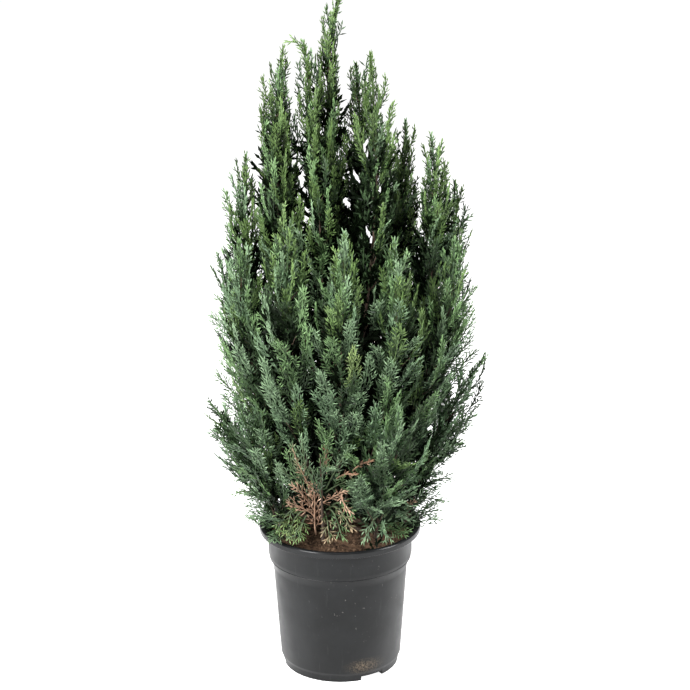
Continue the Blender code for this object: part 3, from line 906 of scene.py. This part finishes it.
def grow_spray(blades, rng, line, flat, leafy_from, reach, hue, habit_name):
    """A flat spray on the outer part of a shoot: line is its axis, reach its longest side shoot."""
    habit = HABITS[habit_name]
    total = length_of(line)
    start = total * leafy_from
    count = max(int((total - start) / habit["side_step"]), 3)
    shares = (np.arange(count) + 0.5) / count
    points, ways = along(line, start + (total - start) * shares)
    low, high = habit["lean"]
    for number, share in enumerate(shares):
        way = ways[number]
        level = across_from(way, flat + rng.normal(0.0, 0.10, 3))
        side = np.cross(level, way) * (1 if number % 2 else -1)
        swell = min(1.0, (share + 0.10) / 0.28) ** 0.8 * (1 - share) ** 0.62
        length = (SHORTEST_SIDE + (reach - SHORTEST_SIDE) * swell) * rng.uniform(0.74, 1.18)
        lean = math.radians(low + (high - low) * share + rng.normal(0, 5))
        heading = unit(leaned(way, side, lean) + level * rng.normal(0.0, 0.10))
        grow_side_shoot(blades, rng, points[number], heading, way, level, length, hue, 0.38 * share, habit)
    clothe_axis(blades, line, flat, start, total, habit["width"] * 1.1, hue, 0.65)
    blades.add(line[-1:], ways[-1:], flat, habit["short"] * 1.3, habit["width"], hue, 1.0)


def deal_hue(rng, height):
    """The green of one spray: bluer low down, fresher towards the top, and at the tops of the spires mostly
    the high hue's painted shade.
    """
    fresh = smooth_step(0.45, 0.85, height)
    high = smooth_step(0.60, 0.82, height)
    # deep, the painted shade of the layer behind, is dealt to a few outer sprays too
    weights = {
        "blue": 0.24 * (1 - fresh), "glaucous": 0.36 * (1 - 0.6 * fresh), "mid": 0.26,
        "fresh": 0.06 + 0.40 * fresh, "high": 1.3 * high, "deep": 0.07, "yellow": 0.005,
    }
    shares = np.array(list(weights.values()))
    return list(weights)[rng.choice(len(shares), p=shares / shares.sum())]


def tilt_out(height):
    """Degrees from upright at which an outer shoot ends: 88 at the rim, 30 midway, 16 at the top."""
    low = 88 - 58 * float(smooth_step(0.20, 0.46, height))
    return low - 14 * float(smooth_step(0.46, 0.80, height))


def shoot_line(mass, rng, end, facing):
    """The axis of a shoot from its stem out to its end."""
    away = unit(end * (1, 1, 0))
    own = unit((end - mass.stem(end[2])) * (1, 1, 0))
    spread = unit(away * (1.1 + facing) + own)
    tilt = math.radians(tilt_out(end[2]) * (0.45 + 0.55 * max(facing, 0.0)) + rng.normal(0, 11))
    sideways = rng.normal(0.0, 0.24) * np.cross(UP, spread)
    way = unit(leaned(UP, spread + sideways, tilt))
    length = min(0.055 + 1.5 * mass.width(end[2]), 0.125) * rng.uniform(0.85, 1.15)
    leave = mass.stem(max(end[2] - length * (0.35 + 0.5 * max(way[2], 0.0)), mass.foot))
    leave = leave + (end - leave) * 0.08
    return blend_path(leave, end - way * length * 0.55, end, 12), way


# Brown patch: low in front one fan has died back. Green shoots keep clear of it.
PATCH_MIDDLE = np.array((-0.026, 0.276))        # right, up
PATCH_HALF = np.array((0.050, 0.050))
PATCH_FRONT = -0.060
BARE_SOIL = (-0.056, 0.046)                     # from left to right, the soil that shows in front
BARE_SOIL_TOP = 0.246


def in_patch(point):
    """Whether a point lies in the space that the brown patch and the bare soil below it keep open."""
    away = (point[[0, 2]] - PATCH_MIDDLE) / PATCH_HALF
    over_soil = BARE_SOIL[0] < point[0] < BARE_SOIL[1] and point[2] < BARE_SOIL_TOP
    return point[1] < PATCH_FRONT and (over_soil or float(away @ away) < 1)


# Cleft and sky: right of the middle a dark cleft runs up the crown, and in a few narrow slits beside
# it and beside the left spire the sky shows through.
CLEFT_MIDDLE = 0.0345
CLEFT_HALF = 0.0115
CLEFT_HEIGHTS = (0.52, 0.78)
CLEFT_FRONT = -0.020
EYE = np.array(CAMERA_PLACE)
SKY_PLANE = -0.12                               # depth at which the slits are placed, seen from the front
RAG_RATE = 620.0                                # how fast a slit narrows and widens on its way up
RAG_LEAST = 0.20
RAG_SPREAD = 0.65
WAVER_RATE = 190.0                              # how fast it strays from side to side
RAG_SHIFT = 900.0                               # these set each slit's rags apart from the next one's
WAVER_SHIFT = 500.0
SKY_SLITS = {
    # name: middle from left to right, middle height, half width, half height
    "left_high": (-0.0445, 0.729, 0.0025, 0.016),
    "left_low": (-0.0395, 0.697, 0.0024, 0.020),
    "middle": (0.0135, 0.713, 0.0045, 0.010),
    "cleft_high": (0.0385, 0.783, 0.0034, 0.020),
    "cleft_middle": (0.0255, 0.745, 0.0036, 0.013),
    "cleft_right": (0.0535, 0.735, 0.0022, 0.025),
    "cleft_low": (0.0420, 0.667, 0.0040, 0.033),
}


def in_cleft(point):
    """Whether a point lies in the cleft, where no bright spray ends."""
    return (abs(point[0] - CLEFT_MIDDLE) < CLEFT_HALF and point[1] < CLEFT_FRONT
            and CLEFT_HEIGHTS[0] < point[2] < CLEFT_HEIGHTS[1])


def before_sky(points):
    """Which points stand in front of or behind a slit through which sky shows."""
    share = (SKY_PLANE - EYE[1]) / (points[:, 1] - EYE[1])
    seen = EYE + (points - EYE) * share[:, None]
    inside = np.zeros(len(points), dtype=bool)
    for across, height, half_width, half_height in SKY_SLITS.values():
        ragged = RAG_LEAST + RAG_SPREAD * np.sin(seen[:, 2] * RAG_RATE + across * RAG_SHIFT) ** 2
        waver = half_width * np.sin(seen[:, 2] * WAVER_RATE + across * WAVER_SHIFT)
        off = (seen[:, 0] - across - waver) / half_width
        inside |= off ** 2 + ((seen[:, 2] - height) / half_height) ** 2 < ragged
    return inside


# Crown: the outer sprays of each mass in its light, a deeper layer behind them darkened with painted
# shade, coarse sprays painted near-black as shade round each stem, and slender rising shoots at the
# stem's tip.
OUTER_CLOSE = 0.0275
OUTER_SPARSE = 0.050
DEEPER_CLOSE = 0.038
DEEPER_SPARSE = 0.060
DEEPER_BY = 0.016
OUTLYING = 0.105            # beyond this distance from the trunk no spray gets the near-black painted shade
SPIRE_DRAW = 0.0055         # how far a spire's shoots stop short of its skin
CORE_STEP = 0.0078
TOP_LENGTH = 0.110          # stretch below a stem's tip that its rising shoots cover
TOP_STEP = 0.0065
CLOTHED = 0.150             # stretch of a stem below its tip that is green with scale leaves
BARE_TIPS = {"leader": 0.024, "left_spire": 0.030, "bent_spire": 0.030, "right_spire": 0.036}
FORWARD = {"leader": 0.034, "bent_spire": 0.040}   # how far the middle column bulges forward
BULGE_LOW = (0.54, 0.62)    # heights over which its bulge sets in
BULGE_HIGH = (0.76, 0.85)   # and fades
TIP_LINKS = {"leader": (0.0018, 0.0046)}        # how far a tip's links stand off its axis; their width
THIN_TIP_LINKS = (0.0007, 0.0030)
LEADER_SLENDER = 0.55       # spread of the leader's rising shoots against a bough's
DEAD_MASS = "skirt_dead"                        # its own tip has died back and lost its shoots
NOD_TIP = np.array((-0.061, -0.023, 0.9045))    # where the bent spire's tip hangs over to the left


def grow_outside(mass, rng, blades, twigs):
    """The sprays that show, one to each end on the mass's skin."""
    forward = FORWARD.get(mass.name, 0.0)
    for end, normal, facing in zip(*mass.shoot_ends(rng, OUTER_CLOSE, OUTER_SPARSE)):
        bulge = float(smooth_step(*BULGE_LOW, end[2]) - smooth_step(*BULGE_HIGH, end[2]))
        spire = float(smooth_step(SPIRE_LOW, SPIRE_HIGH, end[2]))
        end = end + np.array((0.0, -forward * bulge, 0.0)) - normal * SPIRE_DRAW * spire
        line, way = shoot_line(mass, rng, end + normal * rng.uniform(-0.004, 0.004), facing)
        if any(in_patch(point) for point in line[5:]) or any(in_cleft(point) for point in line[7:]):
            continue
        turn = rng.normal(0.0, math.radians(24))
        flat = across_from(way, 0.5 * normal + unit(end * (1, 1, 0)))
        flat = leaned(flat, np.cross(way, flat), turn)
        reach = min(0.014 + 0.50 * mass.width(end[2]), 0.034) * rng.uniform(0.85, 1.15) * (1 - 0.45 * spire)
        # sprays on the inner side get the deep hue, painted shade
        seen = facing > -0.15 or spire > 0.5
        hue = deal_hue(rng, end[2]) if seen else "deep"
        habit = "spire" if spire > 0.5 else ("feather" if seen else "thin")
        grow_spray(blades, rng, line, flat, 0.22, reach, hue, habit)
        twigs.add(line[:5], np.linspace(0.0010, 0.0007, 5))


def grow_deeper(mass, rng, blades):
    """The layer behind: sprays whose ends stop short of the skin, darkened with painted shade."""
    for end, normal, facing in zip(*mass.shoot_ends(rng, DEEPER_CLOSE, DEEPER_SPARSE)):
        line, way = shoot_line(mass, rng, end - normal * DEEPER_BY, facing)
        flat = across_from(way, normal + rng.normal(0.0, 0.4, 3))
        if in_patch(line[-1] - (0, 0, 0.020)):
            continue
        # painted shade: the deep hue near the outside, the near-black shade hue further in
        near = facing > 0.1 or end[2] > SPIRE_LOW or np.linalg.norm(end[:2]) > OUTLYING
        hue, habit = ("deep", "thin") if near else ("shade", "coarse")
        grow_spray(blades, rng, line, flat, 0.30, 0.024, hue, habit)


def grow_core(blades, rng, stem, low, high, length_at):
    """Coarse sprays in the near-black shade hue, painted shade, all round a stem between two heights."""
    turn = rng.uniform(0, 2 * math.pi)
    for height in np.arange(low, high, CORE_STEP):
        turn += GOLDEN_TURN
        side = np.array((math.cos(turn), math.sin(turn), 0.0))
        lean = math.radians(rng.uniform(25, 45))
        foot = stem(height)
        length = length_at(height)
        way = leaned(UP, side, lean)
        end = foot + way * length * 0.9 + UP * length * 0.1
        line = blend_path(foot, foot + way * length * 0.5, end, 6)
        flat = across_from(way, side + rng.normal(0.0, 0.6, 3))
        grow_spray(blades, rng, line, flat, 0.10, 0.45 * length, "shade", "coarse")


def grow_top(mass, rng, blades):
    """The slender end of a stem: a small spray at its very tip and rising shoots, longer lower down."""
    if mass.name == DEAD_MASS:
        return
    tip_line = mass.stem(np.linspace(mass.top - 0.045, mass.top, 8))
    bare = BARE_TIPS.get(mass.name, 0.022)
    if mass.name == "bent_spire":
        nod = blend_path(mass.stem(mass.top - 0.040), mass.stem(mass.top) + UP * 0.010, NOD_TIP, 10)
        grow_spray(blades, rng, nod, np.array((0.0, -1.0, 0.2)), 0.10, 0.012, "fresh", "spire")
    clothed = mass.stem(np.linspace(mass.top - CLOTHED, mass.top, 16))
    hue = deal_hue(rng, mass.top)
    stand, width = TIP_LINKS.get(mass.name, THIN_TIP_LINKS)
    for bearing in (0, 120, 240):
        looks = np.array(outward(bearing))
        clothe_axis(blades, clothed + looks * stand, looks, 0.0, length_of(clothed), width, hue, 0.45)
    for flat in ((0.0, -1.0, 0.0), (0.8, 0.6, 0.0)):
        grow_spray(blades, rng, tip_line, np.array(flat), 0.15, 0.010, deal_hue(rng, mass.top), "spire")
    slender = LEADER_SLENDER if mass.name == "leader" else 1.0
    turn = rng.uniform(0, 2 * math.pi)
    for below in np.arange(bare, TOP_LENGTH + bare, TOP_STEP):
        turn += GOLDEN_TURN
        length = (0.022 + 0.42 * below) * rng.uniform(0.85, 1.15)
        side = np.array((math.cos(turn), math.sin(turn), 0.0))
        lean = math.radians(rng.uniform(10, 20) * slender)
        foot = mass.stem(mass.top - below - length * 0.6)
        way = unit(leaned(UP, side, lean))
        middle = foot + (way + 0.5 * slender * side) * length * 0.4
        line = blend_path(foot, middle, foot + way * length + side * 0.003, 8)
        flat = across_from(way, leaned(np.cross(way, side), side, 3 * turn))
        reach = 0.010 + 0.10 * slender * below
        grow_spray(blades, rng, line, flat, 0.12, reach, deal_hue(rng, mass.top), "spire")


def grow_mass(mass, rng, blades, twigs):
    """Everything that one bough carries."""
    heights = np.linspace(mass.foot, mass.top, 14)
    twigs.add(mass.stem(heights), np.linspace(0.0026, 0.0005, len(heights)))
    grow_outside(mass, rng, blades, twigs)
    grow_deeper(mass, rng, blades)
    grow_core(blades, rng, mass.stem, mass.foot + 0.01, mass.top - 0.14, mass.core_length)
    grow_top(mass, rng, blades)


foliage_nodes = sorted(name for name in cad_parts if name.startswith("foliage_"))
for order, node in enumerate(foliage_nodes):
    mass = Mass(node)
    rng = np.random.default_rng([GROWTH_SEED, order])
    blades = Blades()
    twigs = Twigs()
    grow_mass(mass, rng, blades, twigs)
    sprays = show(f"sprays_{mass.name}", blades.mesh(f"sprays_{mass.name}"))
    stems = show(f"twigs_{mass.name}", twigs.mesh(f"twigs_{mass.name}"), [BARK])
    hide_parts(node)
    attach(sprays, ROOT)
    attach(stems, ROOT)


# Low shoots: the bare tan twigs of the brown patch, green sprigs beside it with tan tips, yellowish shoots
# that droop inside the rim on the left, one blue plume on the right, and the lowest shoots at the sides.
DEAD_SHOOTS = {
    # name: foot, tip, arch over the straight line, longest side shoot, hue, habit
    "stem": ((-0.033, -0.092, 0.232), (-0.036, -0.126, 0.318), 0.004, 0.026, "dead", "bare"),
    "arm_left": ((-0.034, -0.106, 0.272), (-0.060, -0.126, 0.316), 0.002, 0.020, "dead", "bare"),
    "arm_low": ((-0.034, -0.102, 0.262), (-0.069, -0.120, 0.290), 0.003, 0.016, "dead", "bare"),
    "arm_right": ((-0.030, -0.106, 0.278), (0.004, -0.127, 0.308), 0.002, 0.010, "dead", "bare"),
    "arm_hanging": ((-0.002, -0.122, 0.306), (0.010, -0.127, 0.282), 0.006, 0.008, "dead", "bare"),
    "strand_left": ((-0.037, -0.112, 0.296), (-0.063, -0.130, 0.372), 0.001, 0.014, "dying", "bare"),
    "rising": ((-0.017, -0.106, 0.326), (-0.018, -0.122, 0.366), 0.000, 0.008, "withered", "spire"),
    "far": ((0.018, -0.114, 0.334), (0.040, -0.126, 0.352), 0.003, 0.006, "withered", "spire"),
    "near": ((-0.004, -0.112, 0.322), (0.018, -0.126, 0.334), 0.003, 0.006, "withered", "spire"),
    "stub": ((0.092, -0.078, 0.262), (0.100, -0.086, 0.276), 0.001, 0.006, "dead", "spire"),
}
GREEN_SHOOTS = {
    "strand_far": ((-0.040, -0.108, 0.282), (-0.080, -0.128, 0.346), 0.002, 0.020, "glaucous", "bare"),
    "strand_side": ((-0.040, -0.110, 0.290), (-0.070, -0.129, 0.364), 0.002, 0.020, "mid", "bare"),
    "strand_middle": ((-0.036, -0.114, 0.300), (-0.051, -0.130, 0.384), 0.000, 0.018, "glaucous", "bare"),
    "strand_right": ((-0.030, -0.114, 0.302), (-0.012, -0.130, 0.394), 0.001, 0.018, "mid", "bare"),
    "fork": ((-0.020, -0.104, 0.298), (0.034, -0.130, 0.328), 0.006, 0.016, "mid", "loose"),
    "fork_high": ((-0.018, -0.106, 0.306), (0.014, -0.128, 0.372), 0.003, 0.017, "glaucous", "feather"),
    "tipped_left": ((-0.022, -0.098, 0.268), (-0.014, -0.118, 0.236), 0.012, 0.015, "turning", "loose"),
    "tipped_middle": ((-0.018, -0.100, 0.272), (0.003, -0.121, 0.240), 0.014, 0.015, "mid", "loose"),
    "tipped_right": ((-0.014, -0.102, 0.276), (0.014, -0.122, 0.254), 0.012, 0.013, "turning", "loose"),
    "tipped_end": ((-0.010, -0.104, 0.280), (0.018, -0.124, 0.274), 0.010, 0.012, "mid", "loose"),
    "droop_far": ((-0.050, -0.080, 0.266), (-0.086, -0.084, 0.236), 0.012, 0.018, "fresh", "loose"),
    "droop_left": ((-0.046, -0.082, 0.262), (-0.072, -0.088, 0.228), 0.012, 0.018, "yellow", "loose"),
    "droop_front": ((-0.042, -0.084, 0.256), (-0.056, -0.092, 0.226), 0.012, 0.016, "fresh", "loose"),
    "droop_low": ((-0.048, -0.082, 0.244), (-0.064, -0.090, 0.220), 0.008, 0.012, "mid", "loose"),
    "plume": ((0.060, -0.088, 0.236), (0.062, -0.132, 0.346), 0.004, 0.030, "glaucous", "feather"),
    "plume_left": ((0.061, -0.096, 0.262), (0.036, -0.104, 0.232), 0.012, 0.018, "glaucous", "feather"),
    "plume_inner": ((0.061, -0.104, 0.278), (0.030, -0.120, 0.300), 0.004, 0.016, "blue", "feather"),
    "plume_right": ((0.061, -0.100, 0.260), (0.098, -0.104, 0.296), 0.006, 0.022, "glaucous", "feather"),
    "plume_low": ((0.060, -0.092, 0.246), (0.092, -0.084, 0.250), 0.008, 0.018, "blue", "feather"),
    "plume_front": ((0.060, -0.094, 0.242), (0.064, -0.094, 0.222), 0.010, 0.014, "glaucous", "loose"),
}
SIDE_SHOOTS = {
    "right_top": ((0.124, -0.018, 0.440), (0.180, -0.014, 0.532), 0.003, 0.028, "mid", "feather"),
    "right_upper": ((0.126, -0.010, 0.420), (0.185, 0.004, 0.508), 0.003, 0.028, "glaucous", "feather"),
    "right_front": ((0.124, -0.026, 0.410), (0.180, -0.040, 0.496), 0.003, 0.028, "blue", "feather"),
    "right_middle": ((0.120, -0.020, 0.380), (0.184, -0.020, 0.470), 0.003, 0.026, "mid", "feather"),
    "right_out": ((0.108, -0.022, 0.318), (0.173, -0.026, 0.366), 0.005, 0.028, "glaucous", "feather"),
    "right_low": ((0.102, -0.018, 0.290), (0.164, 0.006, 0.326), 0.006, 0.026, "mid", "feather"),
    "right_lower": ((0.096, -0.030, 0.262), (0.152, -0.036, 0.292), 0.007, 0.026, "blue", "feather"),
    "right_foot": ((0.090, -0.044, 0.252), (0.141, -0.056, 0.266), 0.008, 0.022, "glaucous", "feather"),
    "left_upper": ((-0.112, 0.006, 0.352), (-0.166, 0.000, 0.430), 0.003, 0.026, "mid", "feather"),
    "left_middle": ((-0.112, -0.010, 0.340), (-0.158, -0.026, 0.410), 0.003, 0.026, "glaucous", "feather"),
    "left_low": ((-0.096, 0.004, 0.264), (-0.146, -0.002, 0.292), 0.006, 0.024, "blue", "feather"),
    "left_foot": ((-0.092, -0.020, 0.252), (-0.140, -0.034, 0.272), 0.006, 0.022, "mid", "feather"),
}
FACE = np.array((0.0, -1.0, 0.25))              # the way the flat of a low shoot looks
STALK_POINTS = 10
STALK_THIN = 0.0006
WANDER = 0.012                                  # how far a bare twig strays from its arch
WANDER_TURN = 7                                 # radians that it strays through from foot to tip


def grow_low_shoots(name, shoots, stalk):
    """One joined piece of the shoots in a table."""
    rng = np.random.default_rng([GROWTH_SEED, len(shoots)])
    blades = Blades()
    stalks = Twigs()
    for foot, tip, arch, reach, hue, habit in shoots.values():
        foot, tip = np.array(foot), np.array(tip)
        line = blend_path(foot, (foot + tip) / 2 + UP * 2 * arch, tip, STALK_POINTS)
        flat = across_from(unit(tip - foot), FACE + rng.normal(0.0, 0.15, 3))
        twist = rng.normal(0.0, 0.10, 3) if habit == "bare" else 0.0
        line = line + np.sin(np.linspace(0, WANDER_TURN, STALK_POINTS))[:, None] * twist * WANDER
        grow_spray(blades, rng, line, flat, 0.12, reach, hue, habit)
        stalks.add(line, np.linspace(STALK_THIN + 0.035 * reach, STALK_THIN, STALK_POINTS))
    pieces = [show(name, blades.mesh(name)),
              show(f"{name}_stalks", stalks.mesh(f"{name}_stalks"), [stalk])]
    for piece in pieces:
        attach(piece, ROOT)
    return pieces


dry_stalk = plain_finish("stalk_dry", (0.440, 0.270, 0.180, 1.0), LEAF_ROUGHNESS, LEAF_GLOSS)
green_stalk = plain_finish("stalk_green", (0.090, 0.130, 0.060, 1.0), LEAF_ROUGHNESS, LEAF_GLOSS)
for piece in grow_low_shoots("dead_shoots", DEAD_SHOOTS, dry_stalk):
    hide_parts("foliage_skirt_dead")
grow_low_shoots("low_green_shoots", GREEN_SHOOTS, green_stalk)
grow_low_shoots("side_shoots", SIDE_SHOOTS, green_stalk)


# Inner sprays: old foliage close round the trunk below the leader, and a low ring of it that closes the
# foot of the crown, all in the near-black shade hue, which is painted shade.
INNER_HEIGHTS = (0.25, 0.62)
INNER_LENGTH = 0.080
INNER_PASSES = 3
RING_HEIGHTS = (0.224, 0.40)
RING_LENGTH = 0.050
RING_RADIUS = 0.055
RING_STEP = 40              # degrees from one of its columns to the next
trunk_foot, trunk_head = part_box("trunk")


def trunk_middle(height):
    share = (height - trunk_foot.z) / (trunk_head.z - trunk_foot.z)
    return np.array((trunk_head.x * share, 0.0, height))


inner_blades = Blades()
inner_rng = np.random.default_rng([GROWTH_SEED, len(foliage_nodes)])
for _ in range(INNER_PASSES):
    grow_core(inner_blades, inner_rng, trunk_middle, *INNER_HEIGHTS, lambda height: INNER_LENGTH)
for bearing in range(0, 360, RING_STEP):
    stand = np.array(RING_RADIUS * outward(bearing))
    grow_core(inner_blades, inner_rng, lambda height: trunk_middle(height) + stand, *RING_HEIGHTS,
              lambda height: RING_LENGTH)
inner = show("inner_sprays", inner_blades.mesh("inner_sprays"))
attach(inner, ROOT)
